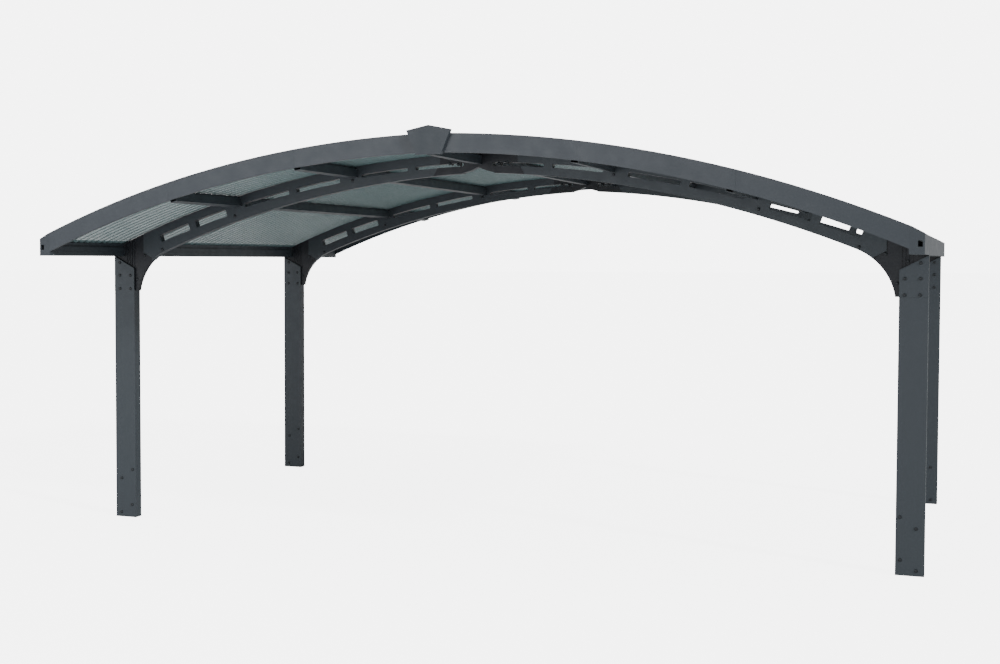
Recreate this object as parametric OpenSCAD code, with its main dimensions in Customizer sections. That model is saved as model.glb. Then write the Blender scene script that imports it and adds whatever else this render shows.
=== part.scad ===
// Double carport: four posts, two arched beams, five purlins and a curved
// roof of corrugated sheets inside an arched fascia.
// X runs across the bays, Y from front to rear, Z up. The origin is at floor
// level, midway between the four posts. Sizes are in millimetres.

/* [Overall] */
// Width over the two eave beams
roof_w = 5760; // [4800:10:6920]
// Depth over the front and rear fascias
roof_d = 4920; // [4100:10:5910]
// Height of the fascia at the ridge, above the floor
crown_z = 2725; // [2620:5:2900]
// Clear height under the eave beams
eave_z = 1970; // [1700:5:2200]

/* [Roof line] */
// Height of the fascia's ends above the underside of the eave beams
fascia_end_h = 155; // [140:5:200]
// How far each roof arc's centre lies beyond the ridge line
ridge_off = 119; // [0:1:200]
// Depth of the roof sheets' underside below the fascia's top edge
roof_drop = 60; // [50:5:80]

/* [Posts] */
// Post width, across the carport
post_w = 170; // [140:5:200]
// Post thickness, front to rear
post_d = 80; // [60:2:100]
// Wall of the post tube
post_wall = 3; // [2:0.5:5]
// Distance between the front and the rear posts' centres
bay_d = 2936; // [2400:2:3400]
// Distance from the eave beam's outer face in to the post's outer face
post_inset = 5; // [0:1:20]

/* [Anchor brackets] */
// Thickness of the bracket's base plate
anchor_base_t = 6; // [4:1:10]
// Thickness of its two upright plates
anchor_leaf_t = 4; // [3:0.5:6]
// Height of the upright plates
anchor_h = 390; // [300:10:450]
// Diameter of the anchor bolt holes
anchor_hole_d = 12; // [8:1:16]
// Distance between the two anchor bolt holes
anchor_pitch = 100; // [80:2:110]

/* [Knees] */
// Distance from the eave beam's underside down to the knee's lower edge
knee_drop = 257; // [200:1:300]
// Thickness of the knee's web
knee_t = 40; // [24:2:56]
// Radius of the knee's curved edge
knee_r = 383; // [300:1:450]
// How far the knee's foot stands out from the post's inner face
knee_foot = 19; // [10:1:40]
// Distance from the post's inner face to the joint with the arch
knee_reach = 75; // [60:1:120]
// Length of the spigot that plugs into the post
spigot_l = 140; // [80:5:200]

/* [Arches] */
// Thickness of an arch beam, front to rear
arch_t = 60; // [40:2:80]
// Depth of the arch's underside below the fascia's top, at the ridge
arch_crown_h = 190; // [170:1:240]
// Depth of the arch's underside below the eave beam's underside, at the post
arch_foot_h = 72; // [40:1:100]
// How far the arch underside's arc centre lies beyond the ridge line
arch_off = 250; // [0:1:300]
// Depth of the slots' upper edge below the fascia's top
slot_drop = 120; // [100:1:130]
// Radius of the slots' corners
slot_r = 9; // [2:0.5:10]
// Half length of the splice plates at the ridge, at their upper edge
splice_l = 275; // [200:5:400]
// Thickness of a splice plate
splice_t = 3; // [2:0.5:6]
// Width of the peaked notch in the underside at the ridge
notch_w = 220; // [100:5:300]
// Height of that notch
notch_h = 37; // [10:1:60]

/* [Eave beams] */
// Width of an eave beam
eave_w = 82; // [60:1:120]
// Wall of the gutter section
eave_wall = 4; // [3:0.5:6]
// Height of its outer wall
eave_out_h = 116; // [90:1:130]
// Height of its inner face, up to the shadow gap
eave_face_h = 68; // [50:1:80]
// Depth of the shadow gap
eave_gap_d = 16; // [8:1:30]
// Height of the shadow gap
eave_gap_h = 9; // [6:1:14]

/* [Purlins] */
// Width of a purlin
purlin_w = 50; // [30:1:80]
// Height of a purlin's box
purlin_h = 60; // [40:1:80]
// Width of the rib that carries the sheets
rib_w = 16; // [10:1:30]
// Height of that rib
rib_h = 15; // [8:1:20]
// Wall of the purlin's box
purlin_wall = 3; // [2:0.5:5]

/* [Fascia] */
// Height of the fascia board
fascia_h = 120; // [80:5:160]
// Thickness of the fascia board
fascia_t = 20; // [10:1:40]
// Height of the end cap's outer edge
cap_out_h = 118; // [90:1:130]
// Width of the drain hole in an end cap
drain_w = 25; // [10:1:40]
// Height of the drain hole
drain_h = 35; // [10:1:50]
// How far the keystone stands out from the fascia
key_t = 30; // [20:5:80]
// Height of the keystone's peak above the fascia's top
key_peak_h = 48; // [20:1:80]
// Half width of the keystone across its wings
key_wing = 145; // [100:5:200]
// Half width of the keystone's foot
key_foot = 83; // [50:1:120]
// Depth of the keystone's foot below the fascia's top
key_drop = 133; // [100:1:160]

/* [Roof sheets] */
// Height of the corrugated sheet, over its crests
sheet_t = 16; // [10:1:24]

/* [Clearances] */
// Gap where a curved or sliding face meets its neighbour
seat_gap = 0.3; // [0.2:0.05:0.5]
// Gap in a butt joint between two like pieces
joint_gap = 0.4; // [0.2:0.1:0.8]

/* [Hidden] */

$fn = 48;
BIG_FN = 2400;            // facets on the drawn roof arcs, which are metres across
PAINT = [0.27, 0.30, 0.33];
PAINT_DARK = [0.22, 0.25, 0.28];
SHEET = [0.48, 0.55, 0.57];
ZINC = [0.62, 0.64, 0.66];

// Places worked out from the driving sizes
half_w = roof_w / 2;
post_out = half_w - post_inset;          // post's outer face
post_in = post_out - post_w;             // post's inner face
post_x = post_out - post_w / 2;          // post's centre line
eave_in = half_w - eave_w;               // eave beam's inner face
pitch = post_x / 3;                      // from one purlin to the next
fascia_in_y = roof_d / 2 - fascia_t;     // fascia board's inner face
arch_in_y = bay_d / 2 - arch_t / 2;      // arch beam's two faces
arch_out_y = bay_d / 2 + arch_t / 2;
knee_z = eave_z - knee_drop;             // knee's lower edge and the post's top
kink_x = eave_in + 15;                   // where the fascia's curve ends
kink_z = eave_z + fascia_end_h;

// Each half of the roof is an arc whose centre lies ridge_off beyond the ridge.
// These give the centre's height and the radius of the arc that passes through
// the ridge at height c and through the point x, z.
function arc_zc(x, z, c, off) = ((x + off)^2 - off^2 + z^2 - c^2) / (2 * (z - c));
function arc_r(zc, c, off) = sqrt(off^2 + (c - zc)^2);

top_zc = arc_zc(kink_x, kink_z, crown_z, ridge_off);
top_r = arc_r(top_zc, crown_z, ridge_off);
roof_r = top_r - roof_drop;              // underside of the roof sheets
under_c = crown_z - arch_crown_h;
under_zc = arc_zc(post_in, eave_z - arch_foot_h, under_c, arch_off);
under_r = arc_r(under_zc, under_c, arch_off);

// Angle from the vertical of the roof's point at x, and its height there
function roof_a(x) = asin((x + ridge_off) / top_r);
function roof_z(x, r) = top_zc + sqrt(r^2 - (x + ridge_off)^2);

// Slots in an arch half: start and end in purlin pitches, and height
SLOTS = [
  [0.113, 0.491, 24], [0.554, 0.925, 24],
  [1.102, 1.470, 33], [1.530, 1.916, 33],
  [2.075, 2.349, 54], [2.406, 2.670, 54]
];

// ---- helpers -------------------------------------------------------------

// Extrudes an outline drawn in X and Z from y0 to y1
module across(y0, y1) {
  translate([0, y1, 0]) rotate([90, 0, 0]) linear_extrude(y1 - y0) children();
}

// Puts a right-hand piece on the left as well, or a front piece at the rear
module to_left() { mirror([1, 0, 0]) children(); }
module to_front() { mirror([0, 1, 0]) children(); }

// Places a drawing at the right half's arc centre
module at_roof_centre() { translate([-ridge_off, top_zc]) children(); }

// Disc about the right half's arc centre, with a facet's corner where x is at
module roof_disc(r, at = 0) {
  at_roof_centre() rotate(90 - asin((at + ridge_off) / r)) circle(r, $fn = BIG_FN);
}

// Upright strip from x0 to x1, high enough for the whole roof
module strip(x0, x1) {
  translate([x0, knee_z]) square([x1 - x0, crown_z + key_peak_h - knee_z]);
}

// Part of a ring between two x places
module band(r_in, r_out, x0, x1) {
  intersection() {
    difference() {
      roof_disc(r_out, x0);
      roof_disc(r_in, x1);
    }
    strip(x0, x1);
  }
}

// Part of a ring between two angles from the vertical
module sector(r_in, r_out, a0, a1) {
  reach = r_out * 1.02;
  intersection() {
    difference() {
      roof_disc(r_out);
      roof_disc(r_in);
    }
    at_roof_centre()
      polygon([[0, 0], [reach * sin(a0), reach * cos(a0)], [reach * sin(a1), reach * cos(a1)]]);
  }
}

// Round dot on the roof's arc, at a radius and an angle
module dot(r, a, d) {
  at_roof_centre() translate([r * sin(a), r * cos(a)]) circle(d = d);
}

// ---- posts ---------------------------------------------------------------

// Post at the right rear: a tube from the floor up to the knee
module post() {
  color(PAINT) difference() {
    translate([post_in, bay_d / 2 - post_d / 2, 0]) cube([post_w, post_d, knee_z]);
    translate([post_in + post_wall, bay_d / 2 - post_d / 2 + post_wall, -1])
      cube([post_w - 2 * post_wall, post_d - 2 * post_wall, knee_z + 2]);
  }
}

// Anchor bracket inside the post's foot: a base plate with two bolt holes
// between two upright plates that stand against the tube's walls
module anchor() {
  inner_w = post_w - 2 * (post_wall + seat_gap);
  inner_d = post_d - 2 * (post_wall + seat_gap);
  color(ZINC) translate([post_x, bay_d / 2, 0]) difference() {
    union() {
      translate([-inner_w / 2, -inner_d / 2, 0]) cube([inner_w, inner_d, anchor_base_t]);
      for (side = [-1, 1])
        translate([-inner_w / 2, side * (inner_d - anchor_leaf_t) / 2 - anchor_leaf_t / 2, 0])
          cube([inner_w, anchor_leaf_t, anchor_h]);
    }
    for (side = [-1, 1])
      translate([side * anchor_pitch / 2, 0, -1])
        cylinder(d = anchor_hole_d, h = anchor_base_t + 2);
  }
}

// ---- knees ---------------------------------------------------------------

// Where the knee's web ends against the arch: an upright line, then a slant
// down to the curved edge
knee_x = post_in - knee_reach;
KNEE_SLANT_Z = 27;        // the slant's upper end, above the eave beam's underside
KNEE_SLANT_X = 73;        // how far the slant runs inwards
KNEE_SLANT_H = 39;        // and how far it drops

// Outline of the space that the knee takes, with the joint line on its left
module knee_side(x_shift) {
  x = knee_x + x_shift;
  polygon([
    [x, crown_z], [x, eave_z + KNEE_SLANT_Z],
    [x - KNEE_SLANT_X, eave_z + KNEE_SLANT_Z - KNEE_SLANT_H],
    [x - KNEE_SLANT_X, knee_z], [post_out, knee_z], [post_out, eave_z],
    [eave_in, eave_z], [eave_in, crown_z]
  ]);
}

// Centre of the knee's curved edge, which is upright at the foot and blends
// into the arch's underside where x is blend_x
knee_cx = post_in - knee_foot - knee_r;
knee_cz = under_zc + sqrt((under_r - knee_r)^2 - (knee_cx + arch_off)^2);
blend_x = under_r * (knee_cx + arch_off) / (under_r - knee_r) - arch_off;

// The open space under the arch and beside the knee's curved edge
module open_space() {
  intersection() {
    translate([-arch_off, under_zc]) circle(under_r, $fn = BIG_FN);
    strip(-half_w, blend_x);
  }
  translate([knee_cx, knee_cz]) circle(knee_r, $fn = 240);
  translate([knee_cx - knee_r, knee_z - 1]) square([2 * knee_r, knee_cz - knee_z + 1]);
}

// Everything under the roof sheets, down to the knee's lower edge
module under_roof(x0, x1) {
  intersection() {
    roof_disc(roof_r - seat_gap, x0);
    strip(x0, x1);
  }
}

// The same out to the post's outer face, with the facets' corner at x
module under_roof_from(x) {
  intersection() {
    roof_disc(roof_r - seat_gap, x);
    strip(0, post_out);
  }
}

// Knee at the right rear: a curved web, a head as wide as the post and a
// spigot inside the post
module knee() {
  spigot_w = post_w - 2 * (post_wall + seat_gap);
  spigot_d = post_d - 2 * (post_wall + seat_gap);
  head_in_z = knee_z + 0.65 * knee_drop;
  color(PAINT_DARK) {
    across(bay_d / 2 - knee_t / 2, bay_d / 2 + knee_t / 2) difference() {
      intersection() {
        knee_side(0);
        under_roof_from(knee_x);
      }
      open_space();
    }
    across(bay_d / 2 - post_d / 2, bay_d / 2 + post_d / 2)
      polygon([[post_in, knee_z], [post_out, knee_z], [post_out, eave_z], [post_in, head_in_z]]);
    translate([post_x - spigot_w / 2, bay_d / 2 - spigot_d / 2, knee_z - spigot_l])
      cube([spigot_w, spigot_d, spigot_l + 1]);
  }
}

// ---- arches --------------------------------------------------------------

// Slot with rounded corners along the roof's arc
module slot(x0, x1, h) {
  r_out = top_r - slot_drop;
  r_in = r_out - h;
  a0 = asin((x0 + ridge_off) / (r_out - h / 2));
  a1 = asin((x1 + ridge_off) / (r_out - h / 2));
  da = slot_r / r_out * 180 / PI;
  sector(r_in, r_out, a0 + da, a1 - da);
  sector(r_in + slot_r, r_out - slot_r, a0, a1);
  for (a = [a0 + da, a1 - da], r = [r_in + slot_r, r_out - slot_r])
    dot(r, a, 2 * slot_r);
}

// All the holes through an arch half
module arch_holes() {
  for (s = SLOTS) slot(s[0] * pitch, s[1] * pitch, s[2]);
}

// Peaked notch in the underside at the ridge
module notch() {
  polygon([
    [-notch_w / 2, under_c - notch_h], [-notch_w / 2, under_c - 1],
    [-notch_w / 4, under_c + notch_h * 0.35], [0, under_c + notch_h],
    [notch_w / 4, under_c + notch_h * 0.35], [notch_w / 2, under_c - 1],
    [notch_w / 2, under_c - notch_h]
  ]);
}

// Right half of an arch beam, from the ridge to the knee
module arch_outline() {
  difference() {
    under_roof(joint_gap / 2, eave_in);
    open_space();
    knee_side(-joint_gap);
    arch_holes();
    notch();
  }
}

// Arch half at the right rear
module arch() {
  color(PAINT) across(arch_in_y, arch_out_y) arch_outline();
}

// Outline of a splice plate, with slanted ends
module splice_outline() {
  spread = splice_l + 60;
  module half() intersection() {
    difference() {
      under_roof(0, spread);
      open_space();
      arch_holes();
      notch();
    }
    polygon([[0, crown_z], [splice_l, crown_z], [splice_l, under_c + 70], [spread, under_c - 40], [0, under_c - 40]]);
  }
  half();
  to_left() half();
}

// Pair of splice plates that join the rear arch's halves, one on each face
module arch_splice() {
  color(PAINT_DARK) {
    across(arch_out_y, arch_out_y + splice_t) splice_outline();
    across(arch_in_y - splice_t, arch_in_y) splice_outline();
  }
}

// ---- eave beams ----------------------------------------------------------

// Right eave beam: a gutter with its open side up. Its inner face has a
// shadow gap under the lip that carries the sheets.
lip_top_z = roof_z(eave_in + 2, roof_r) - seat_gap;
module eave_beam() {
  face_z = eave_z + eave_face_h;
  gap_z = face_z + eave_gap_h;
  out_z = eave_z + eave_out_h;
  gap_x = eave_in + eave_gap_d;
  w = eave_wall;
  groove_z = eave_z + eave_face_h / 2;
  groove = w / 2;
  lip_top_out = roof_z(gap_x + w, roof_r) - seat_gap;
  color(PAINT) across(-fascia_in_y, fascia_in_y) polygon([
    [eave_in, eave_z], [half_w, eave_z], [half_w, out_z], [half_w - w, out_z],
    [half_w - w, eave_z + w], [eave_in + w, eave_z + w], [eave_in + w, face_z - w],
    [gap_x + w, face_z - w], [gap_x + w, lip_top_out], [eave_in, lip_top_z],
    [eave_in, gap_z], [gap_x, gap_z], [gap_x, face_z], [eave_in, face_z],
    [eave_in, groove_z + groove], [eave_in + groove, groove_z + groove],
    [eave_in + groove, groove_z - groove], [eave_in, groove_z - groove]
  ]);
}

// ---- purlins -------------------------------------------------------------

// Outline of a purlin in line with the roof at x, as a hollow box under the
// rib that carries the sheets
module purlin_outline(x) {
  top = roof_r - seat_gap;
  box_top = top - rib_h;
  lean = x > 0 ? roof_a(x) : 0;
  translate([x, 0]) translate([0, roof_z(x, top_r)]) rotate(-lean) translate([0, -top_r]) {
    translate([-rib_w / 2, box_top - 1]) square([rib_w, rib_h + 1 - 0.2]);
    difference() {
      translate([-purlin_w / 2, box_top - purlin_h]) square([purlin_w, purlin_h]);
      translate([-purlin_w / 2 + purlin_wall, box_top - purlin_h + purlin_wall])
        square([purlin_w - 2 * purlin_wall, purlin_h - 2 * purlin_wall]);
    }
  }
}

// One line of purlins: front overhang, middle bay and rear overhang. Each butts
// against the arches, or against plates of thickness seat on their faces.
module purlin(x, seat = 0) {
  out_y = arch_out_y + seat;
  in_y = arch_in_y - seat;
  runs = [[-fascia_in_y, -out_y], [-in_y, in_y], [out_y, fascia_in_y]];
  color(PAINT) for (r = runs) across(r[0], r[1]) purlin_outline(x);
}

// ---- fascia --------------------------------------------------------------

// Right half of the rear fascia: three boards that butt at the purlins
module fascia() {
  color(PAINT) across(fascia_in_y, roof_d / 2) for (i = [0:2]) {
    x0 = i * pitch + joint_gap / 2;
    x1 = i < 2 ? (i + 1) * pitch - joint_gap / 2 : eave_in;
    band(top_r - fascia_h, top_r, x0, x1);
  }
}

// End cap of the rear fascia and the right eave beam
module end_cap() {
  drain_x = eave_in + 0.72 * eave_w;
  drain_z = eave_z + cap_out_h / 2;
  color(PAINT_DARK) across(fascia_in_y, roof_d / 2) difference() {
    polygon([
      [eave_in, eave_z], [half_w, eave_z], [half_w, eave_z + cap_out_h],
      [kink_x, kink_z], [eave_in, roof_z(eave_in, top_r)]
    ]);
    translate([drain_x - drain_w / 2, drain_z - drain_h / 2]) square([drain_w, drain_h]);
  }
}

// Keystone over the rear fascia's middle joint
module keystone() {
  brow = crown_z + key_peak_h - 30;
  color(PAINT_DARK) across(roof_d / 2, roof_d / 2 + key_t) polygon([
    [-key_foot, crown_z - key_drop], [key_foot, crown_z - key_drop],
    [key_wing - 8, brow - 22], [key_wing, brow], [0, crown_z + key_peak_h],
    [-key_wing, brow], [-key_wing + 8, brow - 22]
  ]);
}

// ---- roof sheets ---------------------------------------------------------

// Row of corrugated sheets on the right half, between two x places, as the
// space between its troughs and its crests
module roof_sheet(x0, x1) {
  color(SHEET) across(-fascia_in_y + seat_gap, fascia_in_y - seat_gap)
    band(roof_r, roof_r + sheet_t, x0, x1);
}
module sheet_upper() { roof_sheet(joint_gap / 2, pitch - joint_gap / 2); }
module sheet_middle() { roof_sheet(pitch + joint_gap / 2, 2 * pitch - joint_gap / 2); }
module sheet_lower() { roof_sheet(2 * pitch + joint_gap / 2, half_w - eave_w / 2 + 10); }

// ---- nodes ---------------------------------------------------------------

to_left() to_front() post();  // post_front_left
to_front() post();  // post_front_right
to_left() post();  // post_rear_left
post();  // post_rear_right
to_left() to_front() anchor();  // anchor_front_left
to_front() anchor();  // anchor_front_right
to_left() anchor();  // anchor_rear_left
anchor();  // anchor_rear_right
to_left() to_front() knee();  // knee_front_left
to_front() knee();  // knee_front_right
to_left() knee();  // knee_rear_left
knee();  // knee_rear_right
to_left() to_front() arch();  // arch_front_left
to_front() arch();  // arch_front_right
to_left() arch();  // arch_rear_left
arch();  // arch_rear_right
to_front() arch_splice();  // arch_splice_front
arch_splice();  // arch_splice_rear
to_left() eave_beam();  // eave_beam_left
eave_beam();  // eave_beam_right
to_left() purlin(2 * pitch);  // purlin_left_lower
to_left() purlin(pitch);  // purlin_left_upper
purlin(0, splice_t);  // purlin_ridge
purlin(pitch);  // purlin_right_upper
purlin(2 * pitch);  // purlin_right_lower
to_left() to_front() fascia();  // fascia_front_left
to_front() fascia();  // fascia_front_right
to_left() fascia();  // fascia_rear_left
fascia();  // fascia_rear_right
to_left() to_front() end_cap();  // end_cap_front_left
to_front() end_cap();  // end_cap_front_right
to_left() end_cap();  // end_cap_rear_left
end_cap();  // end_cap_rear_right
to_front() keystone();  // keystone_front
keystone();  // keystone_rear
to_left() sheet_lower();  // roof_sheet_left_lower
to_left() sheet_middle();  // roof_sheet_left_middle
to_left() sheet_upper();  // roof_sheet_left_upper
sheet_upper();  // roof_sheet_right_upper
sheet_middle();  // roof_sheet_right_middle
sheet_lower();  // roof_sheet_right_lower
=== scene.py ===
"""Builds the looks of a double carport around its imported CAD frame."""

import math

import bmesh
import bpy
from mathutils import Matrix, Vector


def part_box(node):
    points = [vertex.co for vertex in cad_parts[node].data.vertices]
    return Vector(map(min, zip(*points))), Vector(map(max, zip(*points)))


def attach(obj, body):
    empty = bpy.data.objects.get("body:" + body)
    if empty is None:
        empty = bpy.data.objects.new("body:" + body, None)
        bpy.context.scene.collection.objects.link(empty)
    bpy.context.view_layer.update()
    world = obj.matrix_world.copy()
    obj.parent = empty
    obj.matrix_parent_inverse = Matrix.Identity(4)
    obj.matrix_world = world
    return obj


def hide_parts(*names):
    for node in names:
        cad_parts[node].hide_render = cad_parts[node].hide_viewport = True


bl_info = {
    "name": "Double Carport",
    "version": (1, 0, 0),
    "blender": (4, 5, 0),
    "location": "View3D > Sidebar > Carport",
    "description": "Builds the roof sheets, fixings and finishes of a double carport",
    "category": "Object",
}

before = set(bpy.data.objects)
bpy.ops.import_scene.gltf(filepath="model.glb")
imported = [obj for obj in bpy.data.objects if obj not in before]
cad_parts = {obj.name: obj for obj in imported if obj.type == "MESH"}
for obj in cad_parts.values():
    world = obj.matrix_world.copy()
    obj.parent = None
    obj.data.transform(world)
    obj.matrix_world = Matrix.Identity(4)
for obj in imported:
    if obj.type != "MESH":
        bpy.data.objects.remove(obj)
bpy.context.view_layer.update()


def corners(node):
    """Lowest and highest corner of a CAD node, as vectors."""
    lo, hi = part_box(node)
    return Vector(lo), Vector(hi)


# Places read from the frame, at its right side and its front
POST_LO, POST_HI = corners("post_front_right")
SHEET_LO, SHEET_HI = corners("roof_sheet_right_upper")
ARCH_FACE = -corners("arch_front_right")[0].y
EAVE_BOTTOM = corners("eave_beam_right")[0].z
ROOF_EDGE = corners("roof_sheet_right_lower")[1].x

# The purlins divide the way from the ridge to the posts' middles in three
PURLIN_X = (POST_LO.x + POST_HI.x) / 6
# Distance from the carport's middle to the posts' middles, front or rear
MID_Y = -(POST_LO.y + POST_HI.y) / 2
# The knee's web is thinner than the post and stands in its middle
WEB_HALF = 0.020
# The head plates' tops slope up from the bay's side to the eave beam
INNER_TOP = POST_HI.z + 0.65 * (EAVE_BOTTOM - POST_HI.z)

ROOF_ROWS = ("upper", "middle", "lower")
SIDES = {"right": 1, "left": -1}


def carport_corners():
    """Name ending, sign of X and sign of Y of each corner of the carport."""
    for end, front in (("front", -1), ("rear", 1)):
        for side, sign in SIDES.items():
            yield f"{end}_{side}", sign, front


# ---- settings ------------------------------------------------------------


class CarportRoofSettings(bpy.types.PropertyGroup):
    arc_radius: bpy.props.FloatProperty(
        name="Arc radius", description="Radius of each roof half, at the sheets' troughs",
        default=7.393, unit="LENGTH")
    arc_offset: bpy.props.FloatProperty(
        name="Arc offset", description="How far each arc's centre lies beyond the ridge",
        default=0.119, unit="LENGTH")
    wave_pitch: bpy.props.FloatProperty(
        name="Wave pitch", description="Distance between two crests of the corrugated sheet",
        default=0.0763, unit="LENGTH")
    wave_height: bpy.props.FloatProperty(
        name="Wave height", description="Height of the corrugated sheet over its crests",
        default=0.016, unit="LENGTH")
    sheet_thickness: bpy.props.FloatProperty(
        name="Sheet thickness", description="Thickness of the sheet's wall",
        default=0.0012, unit="LENGTH")
    sheet_colour: bpy.props.FloatVectorProperty(
        name="Sheet colour", description="Tint of the translucent sheets",
        subtype="COLOR", size=3, min=0, max=1, default=(0.135, 0.205, 0.212))
    sheet_cover: bpy.props.FloatProperty(
        name="Sheet cover", description="How much of the light the sheets hold back",
        default=0.82, min=0, max=1, subtype="FACTOR")
    cap_width: bpy.props.FloatProperty(
        name="Ridge cap width", description="Width of the folded cap over the ridge",
        default=0.27, unit="LENGTH")


class CarportFixingSettings(bpy.types.PropertyGroup):
    head_diameter: bpy.props.FloatProperty(
        name="Screw head diameter", description="Diameter of the frame screws' domed heads",
        default=0.022, unit="LENGTH")
    head_height: bpy.props.FloatProperty(
        name="Screw head height", description="Height of the frame screws' domed heads",
        default=0.009, unit="LENGTH")
    washer_diameter: bpy.props.FloatProperty(
        name="Roof washer diameter", description="Diameter of the sealing washers on the roof",
        default=0.02, unit="LENGTH")
    plate_thickness: bpy.props.FloatProperty(
        name="Head plate thickness", description="Thickness of the plates over the knees' heads",
        default=0.002, unit="LENGTH")
    rib_depth: bpy.props.FloatProperty(
        name="Rib depth", description="How far the knees' upright ribs stand out from the web",
        default=0.006, unit="LENGTH")


class CarportFinishSettings(bpy.types.PropertyGroup):
    frame_colour: bpy.props.FloatVectorProperty(
        name="Frame paint", description="Powder coat on posts, arches, purlins and eave beams",
        subtype="COLOR", size=3, min=0, max=1, default=(0.036, 0.045, 0.054))
    # Darker than the frame paint: painted shade on the knees, shared by the splice plates.
    knee_shade_colour: bpy.props.FloatVectorProperty(
        name="Knee shade paint", description="Painted shade on the knees and splice plates",
        subtype="COLOR", size=3, min=0, max=1, default=(0.013, 0.015, 0.020))
    fascia_colour: bpy.props.FloatVectorProperty(
        name="Fascia paint", description="Powder coat on the fascia boards",
        subtype="COLOR", size=3, min=0, max=1, default=(0.038, 0.046, 0.056))
    cap_colour: bpy.props.FloatVectorProperty(
        name="Cap plastic", description="Moulded plastic of the end caps and keystones",
        subtype="COLOR", size=3, min=0, max=1, default=(0.037, 0.045, 0.054))
    zinc_colour: bpy.props.FloatVectorProperty(
        name="Zinc", description="Galvanised steel of the anchor brackets",
        subtype="COLOR", size=3, min=0, max=1, default=(0.45, 0.46, 0.47))
    # Darker than the frame paint: the heads' own paint plus painted shade for the shadows round
    # them.
    screw_colour_and_shade: bpy.props.FloatVectorProperty(
        name="Screw paint and shade", description="Painted heads of the screws",
        subtype="COLOR", size=3, min=0, max=1, default=(0.013, 0.016, 0.020))


class CarportStageSettings(bpy.types.PropertyGroup):
    floor_colour: bpy.props.FloatVectorProperty(
        name="Floor colour", description="Plain pale floor",
        subtype="COLOR", size=3, min=0, max=1, default=(0.86, 0.86, 0.86))
    floor_glow: bpy.props.FloatProperty(
        name="Floor glow", description="How far the floor is lifted towards the backdrop's white",
        default=5.1, min=0)
    sun_strength: bpy.props.FloatProperty(
        name="Sun strength", description="Strength of the key light", default=2.1, min=0)
    sun_spread: bpy.props.FloatProperty(
        name="Sun spread", description="Angle of the key light, which softens its shadows",
        default=math.radians(5), subtype="ANGLE")
    sky_strength: bpy.props.FloatProperty(
        name="Sky strength", description="Strength of the even studio light", default=0.62, min=0)
    backdrop_strength: bpy.props.FloatProperty(
        name="Backdrop strength", description="Brightness of the plain backdrop",
        default=6.2, min=0)
    fill_power: bpy.props.FloatProperty(
        name="Fill power", description="Power of the soft light at the left",
        default=50, min=0, unit="POWER")
    front_power: bpy.props.FloatProperty(
        name="Front power", description="Power of the broad light before the bays",
        default=620, min=0, unit="POWER")
    focal_length: bpy.props.FloatProperty(
        name="Focal length", description="Camera lens", default=53.17, min=1)


# ---- materials -----------------------------------------------------------


def new_group(name, inputs, outputs):
    """Empty shader node group with the named inputs and outputs."""
    tree = bpy.data.node_groups.new(name, "ShaderNodeTree")
    for label, kind, value in inputs:
        plug = tree.interface.new_socket(name=label, in_out="INPUT", socket_type=kind)
        if value is not None:
            plug.default_value = value
    for label, kind in outputs:
        tree.interface.new_socket(name=label, in_out="OUTPUT", socket_type=kind)
    return tree, tree.nodes.new("NodeGroupInput"), tree.nodes.new("NodeGroupOutput")


def add_node(tree, kind, **values):
    """New node with its properties set."""
    node = tree.nodes.new(kind)
    for key, value in values.items():
        setattr(node, key, value)
    return node


def noise_on(tree, coords, scale, detail):
    """Noise over the coordinates, from 0 to 1."""
    node = add_node(tree, "ShaderNodeTexNoise")
    node.inputs["Scale"].default_value = scale
    node.inputs["Detail"].default_value = detail
    tree.links.new(coords, node.inputs["Vector"])
    return node.outputs["Fac"]


def ranged(tree, value, low, high):
    """Maps a value from low..high to 0..1."""
    node = add_node(tree, "ShaderNodeMapRange")
    node.inputs["From Min"].default_value = low
    node.inputs["From Max"].default_value = high
    tree.links.new(value, node.inputs["Value"])
    return node.outputs["Result"]


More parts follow.
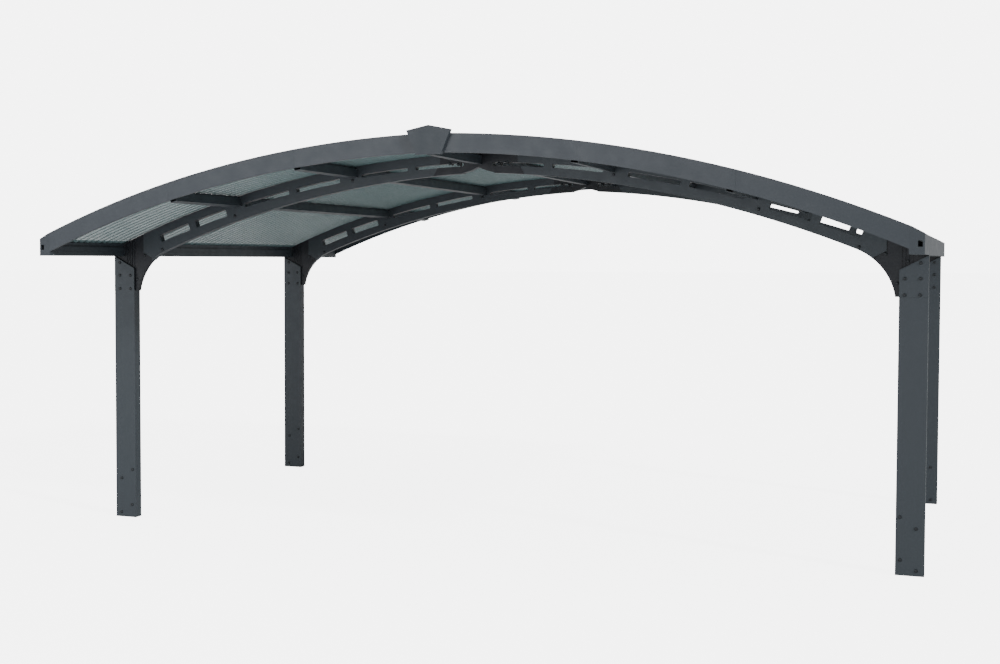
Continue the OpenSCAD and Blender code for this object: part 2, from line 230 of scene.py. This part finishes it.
def coat_grain_group():
    """Fine orange-peel grain and faint blotches of a sprayed coat."""
    tree, inp, out = new_group(
        "Coat Grain",
        [("Coordinates", "NodeSocketVector", None),
         ("Colour", "NodeSocketColor", (0.1, 0.1, 0.1, 1)),
         ("Grain Size", "NodeSocketFloat", 0.0012), ("Depth", "NodeSocketFloat", 0.05),
         ("Roughness", "NodeSocketFloat", 0.45), ("Blotch", "NodeSocketFloat", 0.06)],
        [("Colour", "NodeSocketColor"), ("Roughness", "NodeSocketFloat"),
         ("Normal", "NodeSocketVector")])
    inverse = add_node(tree, "ShaderNodeMath", operation="DIVIDE")
    inverse.inputs[0].default_value = 1.0
    tree.links.new(inp.outputs["Grain Size"], inverse.inputs[1])
    fine = add_node(tree, "ShaderNodeTexNoise")
    fine.inputs["Detail"].default_value = 2
    tree.links.new(inp.outputs["Coordinates"], fine.inputs["Vector"])
    tree.links.new(inverse.outputs[0], fine.inputs["Scale"])
    broad = noise_on(tree, inp.outputs["Coordinates"], scale=1.7, detail=4)
    streak = noise_on(tree, inp.outputs["Coordinates"], scale=14, detail=3)
    shift = add_node(tree, "ShaderNodeMath", operation="SUBTRACT")
    shift.inputs[1].default_value = 0.5
    tree.links.new(broad, shift.inputs[0])
    scaled = add_node(tree, "ShaderNodeMath", operation="MULTIPLY_ADD")
    scaled.inputs[2].default_value = 1.0
    tree.links.new(shift.outputs[0], scaled.inputs[0])
    tree.links.new(inp.outputs["Blotch"], scaled.inputs[1])
    tint = add_node(tree, "ShaderNodeVectorMath", operation="SCALE")
    tree.links.new(inp.outputs["Colour"], tint.inputs[0])
    tree.links.new(scaled.outputs[0], tint.inputs["Scale"])
    tree.links.new(tint.outputs[0], out.inputs["Colour"])
    rough = add_node(tree, "ShaderNodeMath", operation="MULTIPLY_ADD")
    rough.inputs[1].default_value = 0.12
    tree.links.new(ranged(tree, streak, low=0.3, high=0.7), rough.inputs[0])
    tree.links.new(inp.outputs["Roughness"], rough.inputs[2])
    tree.links.new(rough.outputs[0], out.inputs["Roughness"])
    bump = add_node(tree, "ShaderNodeBump")
    bump.inputs["Distance"].default_value = 0.0004
    tree.links.new(inp.outputs["Depth"], bump.inputs["Strength"])
    tree.links.new(fine.outputs["Fac"], bump.inputs["Height"])
    tree.links.new(bump.outputs["Normal"], out.inputs["Normal"])
    return tree


def principled(name):
    """New material with an empty Principled shader; gives the tree and the shader."""
    material = bpy.data.materials.new(name)
    material.use_nodes = True
    shader = material.node_tree.nodes["Principled BSDF"]
    return material, material.node_tree, shader


def coated(name, colour, roughness, depth=0.06, grain=0.0012, blotch=0.08, metallic=0.0):
    """Material with the sprayed coat's grain."""
    material, tree, shader = principled(name)
    coords = add_node(tree, "ShaderNodeTexCoord")
    grain_node = add_node(tree, "ShaderNodeGroup", node_tree=bpy.data.node_groups["Coat Grain"])
    grain_node.inputs["Colour"].default_value = (*colour, 1)
    grain_node.inputs["Grain Size"].default_value = grain
    grain_node.inputs["Depth"].default_value = depth
    grain_node.inputs["Roughness"].default_value = roughness
    grain_node.inputs["Blotch"].default_value = blotch
    tree.links.new(coords.outputs["Object"], grain_node.inputs["Coordinates"])
    tree.links.new(grain_node.outputs["Colour"], shader.inputs["Base Color"])
    tree.links.new(grain_node.outputs["Roughness"], shader.inputs["Roughness"])
    tree.links.new(grain_node.outputs["Normal"], shader.inputs["Normal"])
    shader.inputs["Metallic"].default_value = metallic
    shader.inputs["Specular IOR Level"].default_value = 0.35
    return material


def sheet_material(colour, cover):
    """Tinted, translucent plastic of the corrugated sheets."""
    material, tree, shader = principled("Roof Sheet")
    coords = add_node(tree, "ShaderNodeTexCoord")
    haze = noise_on(tree, coords.outputs["Object"], scale=2.3, detail=3)
    mix = add_node(tree, "ShaderNodeMix", data_type="RGBA")
    spread = 0.06
    mix.inputs["A"].default_value = (*[c * (1 - spread) for c in colour], 1)
    mix.inputs["B"].default_value = (*[min(1, c * (1 + spread)) for c in colour], 1)
    tree.links.new(haze, mix.inputs["Factor"])
    tree.links.new(mix.outputs["Result"], shader.inputs["Base Color"])
    shader.inputs["Roughness"].default_value = 0.22
    shader.inputs["Alpha"].default_value = cover
    return material


# ---- mesh helpers --------------------------------------------------------


def finish_piece(name, mesh_data, material):
    """Turns a bmesh into a piece that rides on the frame."""
    bmesh.ops.recalc_face_normals(mesh_data, faces=mesh_data.faces)
    mesh = bpy.data.meshes.new(name)
    mesh_data.to_mesh(mesh)
    mesh_data.free()
    piece = bpy.data.objects.new(name, mesh)
    bpy.context.scene.collection.objects.link(piece)
    mesh.materials.append(bpy.data.materials[material])
    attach(piece, "root")
    return piece


def shade_smooth(piece, angle=30):
    """Smooth faces that keep their hard edges."""
    mesh = piece.data
    mesh.shade_smooth()
    limit = math.radians(angle)
    shape = bmesh.new()
    shape.from_mesh(mesh)
    for edge in shape.edges:
        if len(edge.link_faces) == 2 and edge.calc_face_angle(0) > limit:
            edge.smooth = False
    shape.to_mesh(mesh)
    shape.free()


def add_box(shape, lo, hi):
    """Box between two corners."""
    lo, hi = Vector(lo), Vector(hi)
    size = hi - lo
    place = Matrix.Translation((lo + hi) / 2) @ Matrix.Diagonal((*size, 1))
    return bmesh.ops.create_cube(shape, size=1, matrix=place)["verts"]


# Outline of a domed head, as shares of its diameter and of its height
DOME = ((0.5, 0.0), (0.5, 0.35), (0.42, 0.7), (0.25, 0.93))


def add_domed_head(shape, place, out, diameter, height, steps=12):
    """Domed screw head that stands on a face, its axis along out."""
    turn = Vector((0, 0, 1)).rotation_difference(out).to_matrix().to_4x4()
    matrix = Matrix.Translation(place) @ turn
    below = None
    for width, up in DOME:
        ring = bmesh.ops.create_circle(shape, segments=steps, radius=width * diameter)["verts"]
        bmesh.ops.translate(shape, verts=ring, vec=(0, 0, up * height))
        bmesh.ops.transform(shape, verts=ring, matrix=matrix)
        edges = list({e for v in ring for e in v.link_edges if all(w in ring for w in e.verts)})
        if below:
            bmesh.ops.bridge_loops(shape, edges=below + edges)
        else:
            bmesh.ops.contextual_create(shape, geom=edges)
        below = edges
    bmesh.ops.contextual_create(shape, geom=below)


def roof_point(x, above, settings):
    """Point of the roof's arc at x, raised along the arc's radius; also the radius direction."""
    side = 1 if x >= 0 else -1
    radius = settings.arc_radius
    centre_z = SHEET_LO.z + sheet_fall(settings)
    angle = math.asin((abs(x) + settings.arc_offset) / radius)
    out = Vector((side * math.sin(angle), 0, math.cos(angle)))
    centre = Vector((-side * settings.arc_offset, 0, centre_z))
    return centre + out * (radius + above), out


def sheet_fall(settings):
    """From the upper sheet's lowest corner down to the arcs' centre."""
    reach = SHEET_HI.x + settings.arc_offset
    return -math.sqrt(settings.arc_radius ** 2 - reach ** 2)


# ---- operators -----------------------------------------------------------


class CARPORT_OT_finishes(bpy.types.Operator):
    """Makes the finishes and puts them on the frame's own pieces"""
    bl_idname = "carport.finishes"
    bl_label = "Finishes"

    def execute(self, context):
        finish = context.scene.carport_finish
        roof = context.scene.carport_roof
        coat_grain_group()
        coated("Frame Paint", finish.frame_colour, 0.42)
        # The knee colour is darker than the frame's: painted shade on the knees and splice plates.
        coated("Knee Shade Paint", finish.knee_shade_colour, 0.45)
        coated("Fascia Paint", finish.fascia_colour, 0.40)
        coated("Cap Plastic", finish.cap_colour, 0.50, depth=0.12, grain=0.0009)
        # Screw heads darker than the frame: their own paint plus painted shade.
        coated("Screw Paint And Shade", finish.screw_colour_and_shade, 0.35, depth=0.02)
        coated("Zinc Steel", finish.zinc_colour, 0.38, depth=0.03, grain=0.006,
               blotch=0.5, metallic=0.9)
        sheet_material(roof.sheet_colour, roof.sheet_cover)
        # The knees and splice plates get the darker paint that carries painted shade.
        wanted = {
            "post": "Frame Paint", "arch_splice": "Knee Shade Paint", "arch": "Frame Paint",
            "eave_beam": "Frame Paint", "purlin": "Frame Paint", "knee": "Knee Shade Paint",
            "fascia": "Fascia Paint", "end_cap": "Cap Plastic", "keystone": "Cap Plastic",
            "anchor": "Zinc Steel", "roof_sheet": "Roof Sheet",
        }
        for node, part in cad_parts.items():
            kind = next(k for k in wanted if node.startswith(k))
            for place in part.material_slots:
                place.material = bpy.data.materials[wanted[kind]]
        return {"FINISHED"}


class CARPORT_OT_roof_sheets(bpy.types.Operator):
    """Makes the corrugated sheets that stand for the frame's plain ones"""
    bl_idname = "carport.roof_sheets"
    bl_label = "Roof Sheets"

    steps_a_wave = 8
    steps_across = 8

    def execute(self, context):
        roof = context.scene.carport_roof
        for side, sign in SIDES.items():
            for row in ROOF_ROWS:
                node = f"roof_sheet_{side}_{row}"
                self.corrugated(node, sign, roof)
        return {"FINISHED"}

    def corrugated(self, node, sign, roof):
        """One sheet that follows the roof's arc, with its waves running down the slope."""
        lo, hi = corners(node)
        inner, outer = sorted((abs(lo.x), abs(hi.x)))
        depth = hi.y - lo.y
        along = int(depth / roof.wave_pitch * self.steps_a_wave)
        shape = bmesh.new()
        bmesh.ops.create_grid(shape, x_segments=self.steps_across, y_segments=along, size=0.5)
        height = roof.wave_height - roof.sheet_thickness
        for v in shape.verts:
            y = (lo.y + hi.y) / 2 + v.co.y * depth
            x = inner + (v.co.x + 0.5) * (outer - inner)
            wave = 0.5 - 0.5 * math.cos(2 * math.pi * y / roof.wave_pitch)
            point, _ = roof_point(sign * x, roof.sheet_thickness / 2 + height * wave, roof)
            point.x = sign * min(abs(point.x), outer)
            v.co = Vector((point.x, y, point.z))
        bmesh.ops.recalc_face_normals(shape, faces=shape.faces)
        if shape.faces[0].normal.z < 0:
            bmesh.ops.reverse_faces(shape, faces=shape.faces)
        bmesh.ops.solidify(shape, geom=list(shape.faces), thickness=roof.sheet_thickness)
        piece = finish_piece(f"corrugated_{node}", shape, "Roof Sheet")
        shade_smooth(piece, 50)
        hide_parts(node)


class CARPORT_OT_ridge_cap(bpy.types.Operator):
    """Makes the folded cap that covers the sheets' upper ends at the ridge"""
    bl_idname = "carport.ridge_cap"
    bl_label = "Ridge Cap"

    clearance = 0.0015
    rise = 0.014
    lip_out = 0.004
    lip_drop = 0.010
    wall = 0.0012

    def execute(self, context):
        roof = context.scene.carport_roof
        reach = roof.cap_width / 2
        shape = bmesh.new()
        bmesh.ops.create_grid(shape, x_segments=6, y_segments=1, size=0.5)
        top = roof_point(reach, roof.wave_height + self.clearance, roof)[0].z
        peak = top + self.rise
        length = SHEET_HI.y - SHEET_LO.y
        for v in shape.verts:
            x = v.co.x * 2 * reach
            v.co = Vector((x, v.co.y * length, peak - (peak - top) * abs(x) / reach))
        rims = [e for e in shape.edges if all(abs(abs(v.co.x) - reach) < 1e-6 for v in e.verts)]
        turned = bmesh.ops.extrude_edge_only(shape, edges=rims)["geom"]
        lips = [v for v in turned if isinstance(v, bmesh.types.BMVert)]
        for v in lips:
            v.co += Vector((math.copysign(self.lip_out, v.co.x), 0, -self.lip_drop))
        bmesh.ops.recalc_face_normals(shape, faces=shape.faces)
        bmesh.ops.solidify(shape, geom=list(shape.faces), thickness=self.wall)
        piece = finish_piece("ridge_cap", shape, "Fascia Paint")
        shade_smooth(piece)
        return {"FINISHED"}


class CARPORT_OT_roof_screws(bpy.types.Operator):
    """Makes the washered screws that hold the sheets to the purlins and eaves"""
    bl_idname = "carport.roof_screws"
    bl_label = "Roof Screws"

    ridge_line = 0.10
    edge_inset = 0.03
    end_inset = 0.04
    waves_between = 3
    sink = 0.0004
    washer_height = 0.003
    head_start = 0.0025
    head_diameter = 0.010
    head_height = 0.005

    def execute(self, context):
        roof = context.scene.carport_roof
        fixing = context.scene.carport_fixings
        lines = (self.ridge_line, PURLIN_X, 2 * PURLIN_X, ROOF_EDGE - self.edge_inset)
        waves = int((SHEET_HI.y - self.end_inset) / roof.wave_pitch - 0.5)
        for side, sign in SIDES.items():
            shape = bmesh.new()
            for x in lines:
                for n in range(-waves, waves + 1, self.waves_between):
                    base, out = roof_point(sign * x, roof.wave_height - self.sink, roof)
                    base.y = (n + 0.5) * roof.wave_pitch
                    add_domed_head(shape, base, out, fixing.washer_diameter,
                                   self.washer_height, steps=8)
                    add_domed_head(shape, base + out * self.head_start, out,
                                   self.head_diameter, self.head_height, steps=6)
            # The roof screws share the screw paint with its painted shade.
            piece = finish_piece(f"roof_screws_{side}", shape, "Screw Paint And Shade")
            shade_smooth(piece)
        return {"FINISHED"}


class CARPORT_OT_head_plates(bpy.types.Operator):
    """Makes the screwed plates on both faces of each knee's head"""
    bl_idname = "carport.head_plates"
    bl_label = "Head Plates"

    eave_gap = 0.0005
    edge_bevel = 0.0006

    def execute(self, context):
        thickness = context.scene.carport_fixings.plate_thickness
        for ending, sign, front in carport_corners():
            shape = bmesh.new()
            for face, out in ((-POST_LO.y, 1), (-POST_HI.y, -1)):
                y0, y1 = sorted((front * face, front * (face + out * thickness)))
                x0, x1 = sorted((sign * POST_LO.x, sign * POST_HI.x))
                block = add_box(shape, (x0, y0, POST_HI.z), (x1, y1, EAVE_BOTTOM - self.eave_gap))
                for v in block:
                    if v.co.z > INNER_TOP and abs(v.co.x) < POST_LO.x + 0.001:
                        v.co.z = INNER_TOP
                rims = list({e for v in block for e in v.link_edges})
                bmesh.ops.bevel(shape, geom=rims, offset=self.edge_bevel, offset_type="OFFSET",
                                segments=1, profile=0.5, affect="EDGES", material=-1)
            finish_piece(f"head_plates_{ending}", shape, "Frame Paint")
        return {"FINISHED"}


class CARPORT_OT_web_ribs(bpy.types.Operator):
    """Makes the upright ribs on the knees' webs, above the head plates"""
    bl_idname = "carport.web_ribs"
    bl_label = "Web Ribs"

    count = 4
    first = 0.010
    step = 0.0205
    half_width = 0.004
    sink = 0.0005
    plate_overlap = 0.004
    eave_overlap = 0.12

    def execute(self, context):
        depth = context.scene.carport_fixings.rib_depth
        slope = (EAVE_BOTTOM - INNER_TOP) / (POST_HI.x - POST_LO.x)
        for ending, sign, front in carport_corners():
            shape = bmesh.new()
            for n in range(self.count):
                x = POST_LO.x + self.first + n * self.step
                bottom = INNER_TOP + slope * (x - POST_LO.x) - self.plate_overlap
                x0, x1 = sorted((sign * (x - self.half_width), sign * (x + self.half_width)))
                for face, out in ((MID_Y + WEB_HALF, 1), (MID_Y - WEB_HALF, -1)):
                    y0, y1 = sorted((front * (face - out * self.sink),
                                     front * (face + out * depth)))
                    add_box(shape, (x0, y0, bottom), (x1, y1, EAVE_BOTTOM + self.eave_overlap))
            # The ribs share the knees' darker paint, which is painted shade.
            finish_piece(f"web_ribs_{ending}", shape, "Knee Shade Paint")
        return {"FINISHED"}


class CARPORT_OT_frame_screws(bpy.types.Operator):
    """Makes the domed screws of the posts' feet, the knees and the arches"""
    bl_idname = "carport.frame_screws"
    bl_label = "Frame Screws"

    # Across from the post's middle, and the height
    foot = ((-0.059, 0.362), (0.034, 0.294), (-0.055, 0.096), (0.038, 0.035))
    head = ((0.039, 1.922), (-0.051, 1.826), (0.039, 1.827), (-0.052, 1.726), (0.038, 1.727))
    # Across from the carport's middle, and the height
    web = ((2.624, 1.978), (2.754, 1.934), (2.693, 1.797))
    arch = ((0.145, 2.592), (0.205, 2.600), (0.93, 2.500), (1.86, 2.262), (2.468, 2.020))

    def execute(self, context):
        fixing = context.scene.carport_fixings
        post_mid = (POST_LO.x + POST_HI.x) / 2
        post_face = -POST_LO.y
        groups = (
            (post_face, [(post_mid + dx, z) for dx, z in self.foot]),
            (post_face + fixing.plate_thickness, [(post_mid + dx, z) for dx, z in self.head]),
            (MID_Y + WEB_HALF, self.web),
            (ARCH_FACE, self.arch),
        )
        for ending, sign, front in carport_corners():
            shape = bmesh.new()
            for face, spots in groups:
                for y, way in ((face, front), (2 * MID_Y - face, -front)):
                    for x, z in spots:
                        add_domed_head(shape, Vector((sign * x, front * y, z)),
                                       Vector((0, way, 0)),
                                       fixing.head_diameter, fixing.head_height)
            # The frame screws share the screw paint with its painted shade.
            piece = finish_piece(f"frame_screws_{ending}", shape, "Screw Paint And Shade")
            shade_smooth(piece)
        return {"FINISHED"}


class CARPORT_OT_stage(bpy.types.Operator):
    """Sets the floor, the lights and the camera"""
    bl_idname = "carport.stage"
    bl_label = "Stage"

    floor_reach = 250
    floor_drop = 0.001
    sun_direction = (-0.90, 0.41, -0.50)
    fill_size, fill_place, fill_target = 5, (-7.5, -9, 3.5), (-1.5, -1.5, 1.2)
    front_size, front_place, front_target = 8, (-3.5, -13, 2.0), (-0.5, 0, 2.0)
    camera_place = (3.1588, -11.0794, 1.9325)
    camera_dip = math.radians(2.4495)
    camera_turn = math.radians(22.3226)
    lens_shift = (0.1272, -0.0076)
    view_end = 600

    def execute(self, context):
        stage = context.scene.carport_stage
        self.floor(context, stage)
        self.studio(context, stage)
        self.sun(context, stage)
        self.soft_light("Fill", stage.fill_power, self.fill_size, self.fill_place, self.fill_target)
        self.soft_light("Front", stage.front_power, self.front_size, self.front_place,
                        self.front_target)
        self.camera(context, stage)
        return {"FINISHED"}

    def floor(self, context, stage):
        """Wide pale floor, lifted towards the backdrop only where the camera sees it."""
        shape = bmesh.new()
        bmesh.ops.create_grid(shape, x_segments=1, y_segments=1, size=self.floor_reach)
        mesh = bpy.data.meshes.new("floor")
        shape.to_mesh(mesh)
        shape.free()
        floor = bpy.data.objects.new("floor", mesh)
        floor.location.z = -self.floor_drop
        context.scene.collection.objects.link(floor)
        material, tree, shader = principled("Floor")
        shader.inputs["Base Color"].default_value = (*stage.floor_colour, 1)
        shader.inputs["Roughness"].default_value = 0.9
        shader.inputs["Emission Color"].default_value = (1, 1, 1, 1)
        seen = add_node(tree, "ShaderNodeLightPath")
        glow = add_node(tree, "ShaderNodeMath", operation="MULTIPLY")
        glow.inputs[1].default_value = stage.floor_glow
        tree.links.new(seen.outputs["Is Camera Ray"], glow.inputs[0])
        tree.links.new(glow.outputs[0], shader.inputs["Emission Strength"])
        mesh.materials.append(material)

    def studio(self, context, stage):
        """Even light all round, with a brighter plain backdrop for the camera."""
        world = bpy.data.worlds.new("Studio")
        world.use_nodes = True
        tree = world.node_tree
        even = tree.nodes["Background"]
        even.inputs["Color"].default_value = (1, 1, 1, 1)
        even.inputs["Strength"].default_value = stage.sky_strength
        plain = add_node(tree, "ShaderNodeBackground")
        plain.inputs["Color"].default_value = (1, 1, 1, 1)
        plain.inputs["Strength"].default_value = stage.backdrop_strength
        seen = add_node(tree, "ShaderNodeLightPath")
        pick = add_node(tree, "ShaderNodeMixShader")
        tree.links.new(seen.outputs["Is Camera Ray"], pick.inputs[0])
        tree.links.new(even.outputs[0], pick.inputs[1])
        tree.links.new(plain.outputs[0], pick.inputs[2])
        tree.links.new(pick.outputs[0], tree.nodes["World Output"].inputs["Surface"])
        context.scene.world = world

    def sun(self, context, stage):
        """Key light from the front right, shining towards the rear left."""
        lamp = bpy.data.lights.new("Key", "SUN")
        lamp.energy = stage.sun_strength
        lamp.angle = stage.sun_spread
        key = bpy.data.objects.new("Key", lamp)
        key.rotation_euler = Vector(self.sun_direction).to_track_quat("-Z", "Y").to_euler()
        context.scene.collection.objects.link(key)

    def camera(self, context, stage):
        """Camera before the bays, a little to the right of their middle."""
        lens = bpy.data.cameras.new("Camera")
        lens.lens = stage.focal_length
        lens.sensor_width = 36
        lens.shift_x, lens.shift_y = self.lens_shift
        lens.clip_end = self.view_end
        camera = bpy.data.objects.new("Camera", lens)
        camera.location = self.camera_place
        camera.rotation_euler = (math.radians(90) - self.camera_dip, 0, self.camera_turn)
        context.scene.collection.objects.link(camera)
        context.scene.camera = camera

    def soft_light(self, name, power, size, place, target):
        """Round area light that faces a target."""
        lamp = bpy.data.lights.new(name, "AREA")
        lamp.shape = "DISK"
        lamp.size = size
        lamp.energy = power
        light = bpy.data.objects.new(name, lamp)
        light.location = place
        light.rotation_euler = (Vector(target) - light.location).to_track_quat("-Z", "Y").to_euler()
        bpy.context.scene.collection.objects.link(light)


class CARPORT_PT_panel(bpy.types.Panel):
    """Lists the carport's pieces and sizes"""
    bl_label = "Double Carport"
    bl_idname = "CARPORT_PT_panel"
    bl_space_type = "VIEW_3D"
    bl_region_type = "UI"
    bl_category = "Carport"

    def draw(self, context):
        for group in ("carport_roof", "carport_fixings", "carport_finish", "carport_stage"):
            box = self.layout.box()
            settings = getattr(context.scene, group)
            for key in settings.__annotations__:
                box.prop(settings, key)
        for operator in OPERATORS:
            self.layout.operator(operator.bl_idname)


SETTINGS = {
    "carport_roof": CarportRoofSettings,
    "carport_fixings": CarportFixingSettings,
    "carport_finish": CarportFinishSettings,
    "carport_stage": CarportStageSettings,
}
OPERATORS = (
    CARPORT_OT_finishes, CARPORT_OT_roof_sheets, CARPORT_OT_ridge_cap,
    CARPORT_OT_roof_screws, CARPORT_OT_head_plates, CARPORT_OT_web_ribs, CARPORT_OT_frame_screws,
    CARPORT_OT_stage,
)


def register():
    for name, group in SETTINGS.items():
        bpy.utils.register_class(group)
        setattr(bpy.types.Scene, name, bpy.props.PointerProperty(type=group))
    for operator in OPERATORS:
        bpy.utils.register_class(operator)
    bpy.utils.register_class(CARPORT_PT_panel)


def unregister():
    bpy.utils.unregister_class(CARPORT_PT_panel)
    for operator in reversed(OPERATORS):
        bpy.utils.unregister_class(operator)
    for name, group in SETTINGS.items():
        delattr(bpy.types.Scene, name)
        bpy.utils.unregister_class(group)


def main():
    """Registers the tools, then builds every piece and the stage."""
    register()
    bpy.ops.carport.finishes()
    bpy.ops.carport.roof_sheets()
    bpy.ops.carport.ridge_cap()
    bpy.ops.carport.roof_screws()
    bpy.ops.carport.head_plates()
    bpy.ops.carport.web_ribs()
    bpy.ops.carport.frame_screws()
    bpy.ops.carport.stage()


if __name__ == "__main__":
    main()
